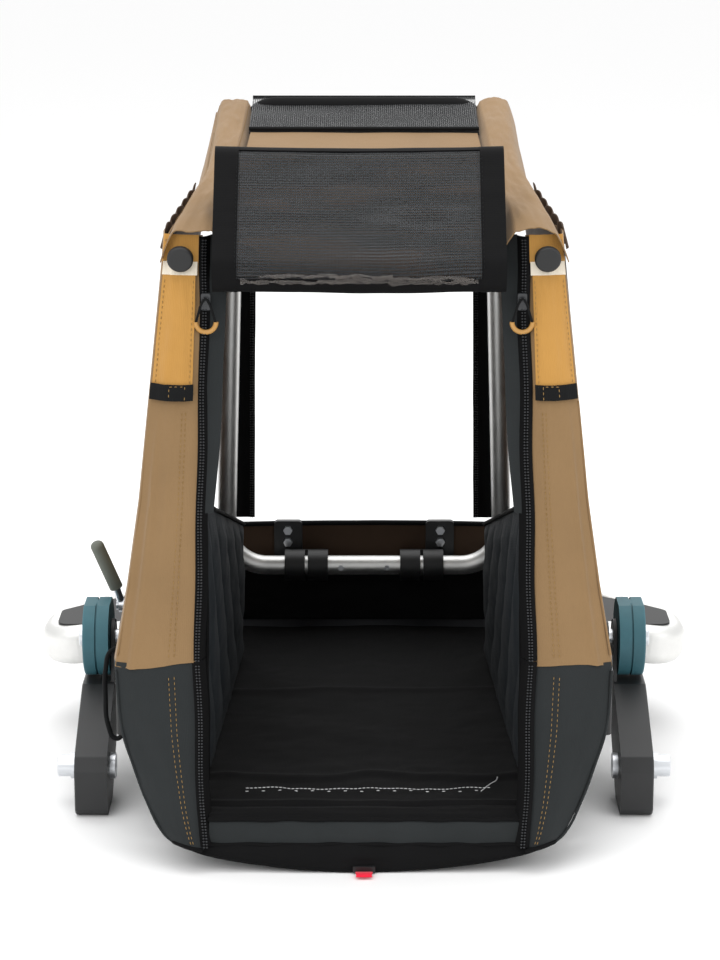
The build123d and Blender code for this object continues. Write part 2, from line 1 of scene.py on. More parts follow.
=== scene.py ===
"""Child bicycle trailer body: fabric, finishes, floor, lights and camera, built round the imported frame."""

import json
import math

import bpy
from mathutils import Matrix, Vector, noise


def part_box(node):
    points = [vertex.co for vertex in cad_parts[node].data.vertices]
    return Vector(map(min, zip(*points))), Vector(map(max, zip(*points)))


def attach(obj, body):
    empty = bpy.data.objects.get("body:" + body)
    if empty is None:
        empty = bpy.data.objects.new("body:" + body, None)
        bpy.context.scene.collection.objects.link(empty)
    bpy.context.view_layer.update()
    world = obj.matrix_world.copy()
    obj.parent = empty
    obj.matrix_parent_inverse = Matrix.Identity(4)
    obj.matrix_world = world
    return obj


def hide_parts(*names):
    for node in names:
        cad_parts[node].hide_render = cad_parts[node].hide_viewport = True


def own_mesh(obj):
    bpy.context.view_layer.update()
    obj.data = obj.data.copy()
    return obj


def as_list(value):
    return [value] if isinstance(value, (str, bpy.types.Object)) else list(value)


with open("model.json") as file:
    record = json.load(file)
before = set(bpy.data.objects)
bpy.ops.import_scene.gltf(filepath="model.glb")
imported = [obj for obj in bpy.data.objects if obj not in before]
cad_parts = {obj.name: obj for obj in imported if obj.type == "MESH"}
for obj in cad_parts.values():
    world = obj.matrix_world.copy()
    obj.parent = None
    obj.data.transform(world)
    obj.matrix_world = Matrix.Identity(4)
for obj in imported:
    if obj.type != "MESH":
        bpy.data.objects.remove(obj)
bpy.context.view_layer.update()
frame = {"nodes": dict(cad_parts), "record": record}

bl_info = {
    "name": "Bicycle trailer body",
    "version": (1, 0, 0),
    "blender": (4, 5, 0),
    "location": "3D View > Sidebar > Trailer",
    "description": "Fabric cabin, trim and finishes of a child bicycle trailer body",
    "category": "Object",
}

MM = 0.001


# ------------------------------------------------------------------ sizes and colours
def size_prop(name, text, default):
    """A length in metres that a user may change."""
    return bpy.props.FloatProperty(name=name, description=text, default=default, min=0.0,
                                   unit="LENGTH", precision=4)


def colour_prop(name, text, default):
    """A colour as an sRGB hex value."""
    return bpy.props.StringProperty(name=name, description=text, default=default)


class TrailerSizes(bpy.types.PropertyGroup):
    """Thicknesses and pitches of the fabric parts."""

    cloth: size_prop("Cloth", "Thickness of the coated polyester", 1.2 * MM)
    crease: size_prop("Creases", "Depth of the creases in the walls", 2.6 * MM)
    weave: size_prop("Weave", "Spacing of the threads, drawn coarse enough to show", 1.5 * MM)
    mesh_pitch: size_prop("Mesh pitch", "Spacing of the holes in the open mesh", 2.4 * MM)
    piping: size_prop("Piping", "Radius of the piping along the seams", 2.2 * MM)
    tooth: size_prop("Zip tooth", "Spacing of the zip's teeth", 3.2 * MM)


class TrailerColours(bpy.types.PropertyGroup):
    """Colours of the fabrics and finishes."""

    tan: colour_prop("Tan", "Walls, roof and pillars", "#876C4B")
    ochre: colour_prop("Ochre", "Straps and pulls", "#B58643")
    beige: colour_prop("Beige", "Patch under the button", "#E4DAC8")
    anthracite: colour_prop("Anthracite", "Tub and lower pillars", "#272A2B")
    black: colour_prop("Black", "Mat, mesh and trim", "#0A0A0B")
    lining: colour_prop("Lining", "Inner face of the walls", "#4A3A2E")
    quilt: colour_prop("Quilt", "Pads inside the cabin", "#1D2226")
    teal: colour_prop("Teal", "Elastomer of the suspension", "#35646F")
    grip: colour_prop("Grip", "Parking brake's grip", "#63675F")
    red: colour_prop("Red", "Pull tab", "#E81F3C")


def sizes():
    """The sizes that the user set."""
    return bpy.context.scene.trailer_sizes


def colours():
    """The colours that the user set."""
    return bpy.context.scene.trailer_colours


# ------------------------------------------------------------------ materials
def linear(value):
    """An sRGB hex value as linear RGBA."""
    channels = [int(value[i:i + 2], 16) / 255 for i in (1, 3, 5)]
    return tuple(c / 12.92 if c <= 0.04045 else ((c + 0.055) / 1.055) ** 2.4 for c in channels) + (1.0,)


def add(mat, kind, links=None, **settings):
    """Adds a node, sets its sockets or attributes, and links its inputs to (node, output) pairs."""
    node = mat.node_tree.nodes.new("ShaderNode" + kind)
    for key, value in settings.items():
        if hasattr(node, key):
            setattr(node, key, value)
        else:
            node.inputs[int(key[1:]) if key[1:].isdigit() else key.replace("_", " ")].default_value = value
    for key, (source, output) in (links or {}).items():
        mat.node_tree.links.new(source.outputs[output], node.inputs[key])
    return node


def start(name):
    """A new material with its shader and its output, and nothing else."""
    mat = bpy.data.materials.new(name)
    mat.use_nodes = True
    mat.node_tree.nodes.clear()
    shader = add(mat, "BsdfPrincipled")
    add(mat, "OutputMaterial", {"Surface": (shader, "BSDF")})
    return mat, shader


def mottle(mat, shader, hexcode, scale, depth, coordinates="Object", detail=4.0, stretch=(1, 1, 1)):
    """Colour that drifts a little over the surface, as dye, dust and handling leave it."""
    where = add(mat, "TexCoord")
    mapping = add(mat, "Mapping", {"Vector": (where, coordinates)}, Scale=stretch)
    cloud = add(mat, "TexNoise", {"Vector": (mapping, 0)}, Scale=scale, Detail=detail, Roughness=0.6)
    base = linear(hexcode)
    ramp = add(mat, "ValToRGB", {"Fac": (cloud, 0)})
    ramp.color_ramp.elements[0].position, ramp.color_ramp.elements[1].position = 0.3, 0.7
    ramp.color_ramp.elements[0].color = tuple(c * (1 - depth) for c in base[:3]) + (1,)
    ramp.color_ramp.elements[1].color = tuple(min(1, c * (1 + depth)) for c in base[:3]) + (1,)
    mat.node_tree.links.new(ramp.outputs[0], shader.inputs["Base Color"])
    return where, cloud, ramp


def bump(mat, shader, height, strength, distance, below=None):
    """Raises the surface where height is high."""
    links = {"Height": height}
    if below:
        links["Normal"] = (below, "Normal")
    node = add(mat, "Bump", links, Strength=strength, Distance=distance)
    mat.node_tree.links.new(node.outputs[0], shader.inputs["Normal"])
    return node


def woven(name, hexcode, pitch, roughness, depth=0.07, sheen=0.15, rib=False):
    """Plain-woven cloth on the piece's own UV map, in metres: threads over and under, with soft folds."""
    mat, shader = start(name)
    shader.inputs["Roughness"].default_value = roughness
    shader.inputs["Sheen Weight"].default_value = sheen
    shader.inputs["Specular IOR Level"].default_value = 0.16
    where, cloud, _ = mottle(mat, shader, hexcode, 9.0, depth)
    bands = []
    for direction in (("X",) if rib else ("X", "Y")):
        bands.append(add(mat, "TexWave", {"Vector": (where, "UV")}, wave_type="BANDS",
                         bands_direction=direction, Scale=math.pi / 10 / pitch, Distortion=0.25, Detail=1.0))
    height = (bands[0], 1)
    if len(bands) == 2:
        height = (add(mat, "Math", {0: (bands[0], 1), 1: (bands[1], 1)}, operation="MULTIPLY"), 0)
    folds = bump(mat, shader, (cloud, 0), 0.35, 4 * MM)
    bump(mat, shader, height, 0.35, 0.35 * MM, below=folds)
    return mat


def moulded(name, hexcode, roughness, grain, depth=0.06, coat=0.0):
    """Moulded or cast surface: a fine grain in Object coordinates and a faint drift of colour."""
    mat, shader = start(name)
    shader.inputs["Roughness"].default_value = roughness
    shader.inputs["Coat Weight"].default_value = coat
    where, _, _ = mottle(mat, shader, hexcode, 22.0, depth)
    speck = add(mat, "TexNoise", {"Vector": (where, "Object")}, Scale=1 / grain, Detail=2.0)
    bump(mat, shader, (speck, 0), 0.25, 0.25 * MM)
    return mat


def metal(name, hexcode, roughness, stretch, scratch=0.12):
    """Bare or plated metal with drawn lines along it."""
    mat, shader = start(name)
    shader.inputs["Metallic"].default_value = 1.0
    where, cloud, _ = mottle(mat, shader, hexcode, 30.0, 0.05, stretch=stretch)
    spread = add(mat, "MapRange", {"Value": (cloud, 0)}, To_Min=roughness - scratch,
                 To_Max=roughness + scratch)
    mat.node_tree.links.new(spread.outputs[0], shader.inputs["Roughness"])
    bump(mat, shader, (cloud, 0), 0.08, 0.2 * MM)
    return mat


def netting(name, hexcode, pitch, openness):
    """Open mesh on the piece's own UV map: round holes in rows, with the threads between them."""
    mat, shader = start(name)
    shader.inputs["Roughness"].default_value = 0.55
    where, cloud, _ = mottle(mat, shader, hexcode, 14.0, 0.12)
    holes = add(mat, "TexVoronoi", {"Vector": (where, "UV")}, Scale=1 / pitch, Randomness=0.15)
    edge = add(mat, "MapRange", {"Value": (holes, 0)}, From_Min=openness - 0.08, From_Max=openness + 0.08,
               To_Min=0.0, To_Max=1.0)
    mat.node_tree.links.new(edge.outputs[0], shader.inputs["Alpha"])
    bump(mat, shader, (cloud, 0), 0.3, 3 * MM)
    return mat


def film(name):
    """Clear soft vinyl, rolled up: glossy, thin and rippled."""
    mat, shader = start(name)
    for key, value in (("Roughness", 0.10), ("Alpha", 0.22), ("Coat Weight", 0.8), ("IOR", 1.5)):
        shader.inputs[key].default_value = value
    _, cloud, _ = mottle(mat, shader, "#5B5550", 60.0, 0.3)
    bump(mat, shader, (cloud, 0), 0.8, 3 * MM)
    return mat


MATERIALS = {}


def finish_of(name):
    """The material of that name, made when it's first wanted."""
    if name in MATERIALS:
        return MATERIALS[name]
    c, s = colours(), sizes()
    makers = {
        # clear anodised tube: satin, with faint drawing lines along its length
        "anodised_aluminium": lambda: metal("anodised_aluminium", "#E2E2E0", 0.46, (1, 0.15, 1), 0.08),
        # zinc plated steel: brighter and a little cooler than the tubes
        "zinc_plated_steel": lambda: metal("zinc_plated_steel", "#D9DCE0", 0.30, (1, 1, 1), 0.08),
        # polyester powder coat: black with a fine orange peel
        "black_powder_coat": lambda: moulded("black_powder_coat", "#202122", 0.48, 1.2 * MM, 0.12),
        # glass-filled nylon: dull black with a spark-eroded grain
        "black_nylon": lambda: moulded("black_nylon", "#18191A", 0.55, 1.0 * MM, 0.15),
        # cast polyurethane: matte, faintly cloudy
        "cast_polyurethane": lambda: moulded("cast_polyurethane", c.teal, 0.6, 2.0 * MM, 0.12),
        # thermoplastic rubber: dull, with a soft bloom
        "soft_grip_rubber": lambda: moulded("soft_grip_rubber", c.grip, 0.72, 1.4 * MM, 0.08),
        # moulded acetal of the pulls
        "ochre_acetal": lambda: moulded("ochre_acetal", c.ochre, 0.42, 1.0 * MM, 0.06, 0.1),
        # twin-wall polypropylene board
        "polypropylene_board": lambda: moulded("polypropylene_board", "#26272A", 0.5, 3.0 * MM, 0.1),
        # coated polyester: tight plain weave with a dry hand
        "tan_polyester": lambda: woven("tan_polyester", c.tan, s.weave, 0.82, 0.06),
        "anthracite_polyester": lambda: woven("anthracite_polyester", c.anthracite, s.weave, 0.75, 0.1, 0.04),
        "black_polyester": lambda: woven("black_polyester", c.black, s.weave, 0.85, 0.16, 0.0),
        "lining_polyester": lambda: woven("lining_polyester", c.lining, s.weave, 0.85, 0.1),
        "quilted_polyester": lambda: woven("quilted_polyester", c.quilt, s.weave, 0.8, 0.08, 0.02),
        # narrow webbing: ribbed across its length
        "ochre_webbing": lambda: woven("ochre_webbing", c.ochre, 2.0 * MM, 0.78, 0.07, 0.3, rib=True),
        "black_webbing": lambda: woven("black_webbing", "#0E0F10", 2.0 * MM, 0.75, 0.12, 0.02, rib=True),
        "beige_webbing": lambda: woven("beige_webbing", c.beige, 2.0 * MM, 0.8, 0.04, 0.2, rib=True),
        "red_webbing": lambda: woven("red_webbing", c.red, 1.6 * MM, 0.7, 0.06, 0.2, rib=True),
        # spun polyester sewing thread
        "white_thread": lambda: moulded("white_thread", "#DADBDC", 0.8, 0.8 * MM, 0.05),
        "ochre_thread": lambda: moulded("ochre_thread", "#8E6F3C", 0.8, 0.8 * MM, 0.08),
        # nylon zip coil, which glints along its teeth
        "zip_coil": lambda: moulded("zip_coil", "#2B2D30", 0.34, 0.8 * MM, 0.2, 0.2),
        # polyester mesh, open enough to see through
        "open_mesh": lambda: netting("open_mesh", "#232527", s.mesh_pitch, 0.40),
        "clear_vinyl": lambda: film("clear_vinyl"),
    }
    MATERIALS[name] = makers[name]()
    return MATERIALS[name]


def dress(obj, material):
    """Gives a piece one material."""
    obj.data.materials.clear()
    obj.data.materials.append(finish_of(material))


# ------------------------------------------------------------------ modelling helpers
def fresh(name, body, slot, *nodes):
    """Settles the active object: its name, its place, its body and the nodes it replaces. Its slot is not
    used.
    """
    obj = bpy.context.object
    obj.name = obj.data.name = name
    bpy.ops.object.transform_apply(location=True, rotation=True, scale=True)
    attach(obj, body)
    if nodes:
        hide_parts(*nodes)
    return obj


def apply(obj, kind, **settings):
    """Adds a modifier and applies it."""
    bpy.context.view_layer.objects.active = obj
    modifier = obj.modifiers.new(kind.title(), kind)
    for key, value in settings.items():
        setattr(modifier, key, value)
    bpy.ops.object.modifier_apply(modifier=modifier.name)


def smooth(obj, angle=50):
    """Shades a piece smooth, but for its sharp corners."""
    bpy.ops.object.select_all(action="DESELECT")
    obj.select_set(True)
    bpy.context.view_layer.objects.active = obj
    bpy.ops.object.shade_smooth_by_angle(angle=math.radians(angle))


def cloth(name, body, slot, material, nodes, place, across, along, thick=None, smoothing=60, flip=False,
          held=None, rests_on=()):
    """A sheet of cloth: a grid laid by place(u, v), a metric UV map, and the cloth's thickness."""
    bpy.ops.object.select_all(action="DESELECT")
    bpy.ops.mesh.primitive_grid_add(x_subdivisions=across, y_subdivisions=along, size=2, calc_uvs=True)
    obj = bpy.context.object
    share = [((v.co.x + 1) / 2, (v.co.y + 1) / 2) for v in obj.data.vertices]
    for vertex, (u, v) in zip(obj.data.vertices, share):
        vertex.co = place(u, v)
    low, high, mid = place(0.5, 0), place(0.5, 1), place(0.5, 0.5)
    tall = (mid - low).length + (high - mid).length
    left, right, centre = place(0, 0.5), place(1, 0.5), place(0.5, 0.5)
    wide = (centre - left).length + (right - centre).length
    uv = obj.data.uv_layers.active.data
    for loop in obj.data.loops:
        u, v = share[loop.vertex_index]
        uv[loop.index].uv = (u * wide, v * tall)
    apply(obj, "SOLIDIFY", thickness=thick or sizes().cloth, offset=1 if flip else -1)
    smooth(obj, smoothing)
    dress(obj, material)
    obj = fresh(name, body, slot, *nodes)
    if held:
        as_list(rests_on)
    return obj


def pipe(name, body, slot, material, points, radius, nodes=(), closed=False, sides=3):
    """Piping, a cord or a wire: a round tube along a smooth line."""
    bpy.ops.object.select_all(action="DESELECT")
    bpy.ops.curve.primitive_bezier_curve_add()
    obj = bpy.context.object
    obj.data.splines.clear()
    spline = obj.data.splines.new("BEZIER")
    spline.bezier_points.add(len(points) - 1)
    for knot, point in zip(spline.bezier_points, points):
        knot.co = point
        knot.handle_left_type = knot.handle_right_type = "AUTO"
    spline.use_cyclic_u = closed
    obj.data.bevel_depth = radius
    obj.data.bevel_resolution = sides
    obj.data.resolution_u = 6
    obj.data.use_fill_caps = not closed
    bpy.ops.object.convert(target="MESH")
    obj = bpy.context.object
    smooth(obj, 60)
    dress(obj, material)
    return fresh(name, body, slot, *nodes)


def stitches(name, body, slot, material, line, length=3.4 * MM, gap=2.2 * MM, radius=0.45 * MM):
    """A row of stitches along a line of points: short dashes that stand a little proud."""
    run = [Vector(p) for p in line]
    lengths = [(b - a).length for a, b in zip(run, run[1:])]
    total, step = sum(lengths), length + gap

    def at(distance):
        for a, b, d in zip(run, run[1:], lengths):
            if distance <= d:
                return a.lerp(b, distance / d)
            distance -= d
        return run[-1]

    bpy.ops.object.select_all(action="DESELECT")
    bpy.ops.mesh.primitive_uv_sphere_add(segments=6, ring_count=4, radius=1)
    dash = bpy.context.object
    corners = [v.co.copy() for v in dash.data.vertices]
    faces = [tuple(p.vertices) for p in dash.data.polygons]
    points, polygons = [], []
    for i in range(int(total / step)):
        a, b = at(i * step), at(i * step + length)
        turn = (b - a).to_track_quat("Z", "Y")
        base = len(points)
        for corner in corners:
            spot = Vector((corner.x * radius, corner.y * radius, corner.z * length / 2))
            points.append((a + b) / 2 + turn @ spot)
        polygons += [tuple(base + k for k in face) for face in faces]
    dash.data.clear_geometry()
    dash.data.from_pydata(points, [], polygons)
    smooth(dash, 80)
    dress(dash, material)
    return fresh(name, body, slot)


def ripple(x, y, seed=0.0, octaves=3):
    """Smooth wandering creases between -1 and 1, the same on every run."""
    return noise.fractal(Vector((x, y, seed)), 1.0, 2.0, octaves) * 1.6


def bow(t):
    """0 at both ends and 1 in the middle."""
    return math.sin(math.pi * min(max(t, 0), 1))


def between(table, z):
    """Reads x and y from rows of (z, x, y), straight between them."""
    rows = list(zip(table, table[1:]))
    for (z0, *a), (z1, *b) in rows:
        if z <= z1 or (z1, *b) == table[-1]:
            t = (z - z0) / (z1 - z0)
            return a[0] + (b[0] - a[0]) * t, a[1] + (b[1] - a[1]) * t


def part_way(run, share):
    """A point that share, 0 to 1, of the way along a run of evenly counted points."""
    place = share * (len(run) - 1)
    i = min(int(place), len(run) - 2)
    t = place - i
    return [run[i][k] + (run[i + 1][k] - run[i][k]) * t for k in (0, 1)]


# the left side's lines up the cabin, as rows of height, X and Y
ZIP_LINE = [(0.026, -0.1728, -0.3925), (0.070, -0.1755, -0.3835), (0.226, -0.1800, -0.3500),
            (0.640, -0.1720, -0.2520), (0.668, -0.1715, -0.2460)]
EDGE_LINE = [(0.024, -0.1960, -0.3860), (0.040, -0.2160, -0.3780), (0.070, -0.2340, -0.3640),
             (0.110, -0.2490, -0.3560), (0.150, -0.2600, -0.3560), (0.221, -0.2655, -0.3530),
             (0.300, -0.2520, -0.3260), (0.388, -0.2395, -0.3050), (0.492, -0.2290, -0.2810),
             (0.640, -0.2140, -0.2460), (0.682, -0.2110, -0.2370)]
FAR_LINE = [(0.139, -0.2660, 0.3080), (0.216, -0.2660, 0.3060), (0.742, -0.1820, 0.2180)]
# the sill's cloth in section, over the edge and down, and the mat's brow above it, as rows of Y and Z
SILL_RUN = [(-0.376, 0.0560), (-0.3800, 0.0570), (-0.3836, 0.0535),
            (-0.3846, 0.0460), (-0.3850, 0.0380), (-0.3845, 0.0300)]
BROW_RUN = [(-0.340, 0.0625), (-0.350, 0.0645), (-0.358, 0.0610), (-0.368, 0.0632),
            (-0.3790, 0.0615), (-0.3835, 0.0585), (-0.3800, 0.0540)]
SILL_HALF = 0.1665
WINDOW_HALF = 0.168
SIDES = (("left", 1), ("right", -1))
HEM = 0.222
STRAP_FOOT = 0.52


def on(side, x, y, z):
    """A point of the left side, or its mirror image."""
    return Vector((x * side, y, z))


def pillar(u, z):
    """The pillar's front at a height: u is 0 at the zip, 1 at the outer edge, and more round the corner."""
    zx, zy = between(ZIP_LINE, z)
    ex, ey = between(EDGE_LINE, z)
    t = min(u, 1)
    x, y = zx + (ex - zx) * t, zy + (ey - zy) * t - 0.009 * bow(t) * min(1, max(0.3, (0.66 - z) / 0.1))
    if u > 1:
        x += -0.004 * bow(u - 1) + 0.004 * (u - 1)
        y += 0.060 * (u - 1)
    return x, y


class TrailerPiece:
    """What the operators share: they work on the whole scene, and can be undone."""

    bl_options = {"REGISTER", "UNDO"}


class TRAILER_OT_hard_parts(TrailerPiece, bpy.types.Operator):
    """Finishes the tubes, brackets, arms, pads, bolts and mouldings"""

    bl_idname = "trailer.hard_parts"
    bl_label = "Hard parts"

    def execute(self, context):
        by_slot = {
            "alu": "anodised_aluminium", "steel": "zinc_plated_steel", "black_alloy": "black_powder_coat",
            "black_plastic": "black_nylon", "board": "polypropylene_board", "elastomer": "cast_polyurethane",
            "grip": "soft_grip_rubber", "ochre_plastic": "ochre_acetal", "zip": "zip_coil",
            "black_fabric": "black_polyester", "grey_fabric": "anthracite_polyester",
            "tan_fabric": "tan_polyester", "brown_fabric": "lining_polyester",
            "pad_fabric": "quilted_polyester", "mesh_fabric": "black_polyester",
            "ochre_webbing": "ochre_webbing", "red_webbing": "red_webbing",
        }
        for row in frame["record"]["subparts"]:
            dress(frame["nodes"][row["node"]], by_slot[row["material_slot"]])
        # the posts and the roof's tube are sleeved in fabric, so what shows of them is dark
        for name in ("post_tubes", "roof_tube", "far_cross_tube", "side_rails", "sill_tube"):
            dress(frame["nodes"][name], "black_powder_coat")
        return {"FINISHED"}


class TRAILER_OT_pillars(TrailerPiece, bpy.types.Operator):
    """Sews the pillars' covers, their lower corners, straps, patches, webbing loops and stitching"""

    bl_idname = "trailer.pillars"
    bl_label = "Pillars"

    def execute(self, context):
        depth = sizes().crease
        for name, side in SIDES:
            first = name == "left"

            def cover(u, v, low=HEM, high=0.668):
                z = low + (high - low) * v
                x, y = pillar(u * 2, z)
                fold = ripple(u * 5, z * 3.5, 3 + side) * depth * bow(u) * 0.9
                pleat = 0.0
                if z < STRAP_FOOT:
                    pleat = 0.0035 * math.exp(-((u * 2 - 0.78) / 0.05) ** 2) * min(1, (STRAP_FOOT - z) * 9)
                wave = 0.0025 * math.sin(u * 9 + side) * (1 - v) ** 12
                return on(side, x - pleat * 0.6, y + fold - pleat, z + wave)

            cloth(f"pillar_cover_{name}", "posts", "tan_fabric", "tan_polyester",
                  ("pillar_covers",) if first else (), cover, 64, 110)

            def corner(u, v):
                z = 0.026 + 0.006 * bow(u) * (1 - v) + (HEM + 0.003 - 0.026) * v
                x, y = pillar(u * 1.9, z)
                fold = ripple(u * 4, z * 9, 8 + side) * depth * bow(u) * bow(v * 0.9 + 0.05)
                return on(side, x, y + fold + 0.0012, z)

            cloth(f"lower_pillar_{name}", "chassis", "grey_fabric", "anthracite_polyester",
                  ("entry_corners",) if first else (), corner, 56, 60)

            def band(z0, z1, u0, u1, lift, puff=0.0):
                def place(u, v):
                    z = z0 + (z1 - z0) * v
                    x, y = pillar(u0 + (u1 - u0) * u, z)
                    return on(side, x, y - lift - puff * bow(v) - 0.0008 * ripple(u * 4, z * 20, side), z)
                return place

            cloth(f"ochre_strap_{name}", "posts", "ochre_webbing", "ochre_webbing",
                  ("ochre_straps",) if first else (), band(0.512, 0.629, 0.16, 0.97, 0.0034), 24, 60,
                  1.6 * MM)
            cloth(f"beige_patch_{name}", "posts", "ochre_webbing", "beige_webbing", (),
                  band(0.627, 0.641, 0.12, 0.99, 0.0040), 24, 8, 1.4 * MM)
            cloth(f"button_patch_{name}", "posts", "tan_fabric", "ochre_webbing", (),
                  band(0.640, 0.669, 0.10, 1.02, 0.0036), 24, 14, 1.4 * MM)
            cloth(f"webbing_loop_{name}", "posts", "black_fabric", "black_webbing",
                  ("webbing_loops",) if first else (), band(0.4985, 0.5145, 0.14, 1.0, 0.0052, 0.0016),
                  24, 10, 2 * MM)
            for edge, u in (("in", 0.21), ("out", 0.92)):
                line = self.row(side, u, 0.516, 0.0037, 31, 0.0054)
                stitches(f"strap_stitch_{edge}_{name}", "posts", "ochre_webbing", "ochre_thread", line)
            box = [on(side, *self.lifted(u, z, 0.0086), z) for u, z in
                   ((0.30, 0.4995), (0.30, 0.5135), (0.62, 0.5135), (0.62, 0.4995))]
            stitches(f"loop_stitch_{name}", "posts", "black_fabric", "ochre_thread", box)
            for row, u in (("a", 0.27), ("b", 0.34)):
                line = self.row(side, u, 0.232, 0.01, 27, 0.0012)
                stitches(f"cover_stitch_{row}_{name}", "posts", "tan_fabric", "ochre_thread", line)
                line = self.row(side, u, 0.034, 0.01, 19, 0.0012)
                stitches(f"corner_stitch_{row}_{name}", "chassis", "grey_fabric", "ochre_thread", line)
            # the seams where the pillar turns the corner, and where it meets the tub
            heights = (0.232, 0.30, 0.388, 0.44, 0.495)
            ridge = [on(side, *self.lifted(1.0, z, 0.0004), z) for z in heights]
            pipe(f"cover_seam_{name}", "posts", "tan_fabric", "tan_polyester", ridge, 1.3 * MM)
            heights = (0.030, 0.04, 0.07, 0.11, 0.15, 0.216)
            ridge = [on(side, *self.lifted(1.0, z, 0.0004), z) for z in heights]
            pipe(f"corner_seam_{name}", "chassis", "grey_fabric", "anthracite_polyester", ridge, 1.5 * MM)
            foot = [corner(0.02 + 0.06 * k, 0.0) + Vector((0, -0.0008, 0)) for k in range(17)]
            pipe(f"corner_piping_{name}", "chassis", "black_fabric", "black_polyester", foot, 2.4 * MM)
        return {"FINISHED"}

    def lifted(self, u, z, lift):
        """The pillar's front, brought forward by lift."""
        x, y = pillar(u, z)
        return x, y - lift

    def row(self, side, u, low, step, count, lift):
        """Points up the pillar at even heights, for a line of stitches."""
        heights = [low + step * k for k in range(count)]
        return [on(side, *self.lifted(u, z, lift), z) for z in heights]


class TRAILER_OT_zips(TrailerPiece, bpy.types.Operator):
    """Makes the entry's zips: tape, coil teeth, and the cords that hold the ring pulls"""

    bl_idname = "trailer.zips"
    bl_label = "Zips"

    def execute(self, context):
        for name, side in SIDES:
            first = name == "left"
            for part, body, z0, z1, nodes in (("lower", "chassis", 0.030, 0.2255, ("zips_lower",)),
                                              ("upper", "posts", 0.2265, 0.667, ("zips_upper",))):
                def tape(u, v):
                    z = z0 + (z1 - z0) * v
                    x, y = between(ZIP_LINE, z)
                    sway = 0.0008 * math.sin(z * 46)
                    return on(side, x + 0.014 * (u - 0.25) + sway,
                              y - 0.0028 + 0.006 * (u - 0.25) ** 2 * 4, z)

                cloth(f"zip_tape_{part}_{name}", body, "zip", "black_polyester", nodes if first else (),
                      tape, 10, 90, 1.6 * MM)
                count = int((z1 - z0) / 0.01)
                for row, shift in (("a", 0.0), ("b", 0.0030)):
                    line = []
                    for k in range(count + 1):
                        z = z0 + (z1 - z0) * k / count
                        x, y = between(ZIP_LINE, z)
                        line.append(on(side, x + 0.001 + shift + 0.0008 * math.sin(z * 46), y - 0.0052, z))
                    stitches(f"zip_teeth_{part}_{row}_{name}", body, "zip", "zip_coil", line,
                             sizes().tooth * 0.55, sizes().tooth * 0.45, 1.25 * MM)

            def flap(u, v):
                z = 0.378 + 0.290 * v
                x, y = between(ZIP_LINE, z)
                wide = 0.010 + 0.009 * min(1, v * 1.6)
                return on(side, x + 0.007 + wide * u + 0.0012 * math.sin(z * 31), y + 0.0045 + 0.004 * u, z)

            cloth(f"zip_flap_{name}", "posts", "grey_fabric", "anthracite_polyester", (), flap,
                  14, 70, 1.4 * MM)
            low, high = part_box(f"ring_pull_{name}")
            x, y, z = (low.x + high.x) / 2, (low.y + high.y) / 2, high.z
            loop = [(x - 0.0108, y, z - 0.002), (x - 0.008, y, z + 0.008), (x - 0.0025, y, z + 0.0225),
                    (x, y + 0.001, z + 0.0245), (x + 0.0025, y, z + 0.0225), (x + 0.008, y, z + 0.008),
                    (x + 0.0108, y, z - 0.002)]
            pipe(f"pull_loop_{name}", f"pull_{name}", "black_fabric", "black_webbing", loop, 1.4 * MM,
                 (f"pull_cord_{name}",))
        return {"FINISHED"}


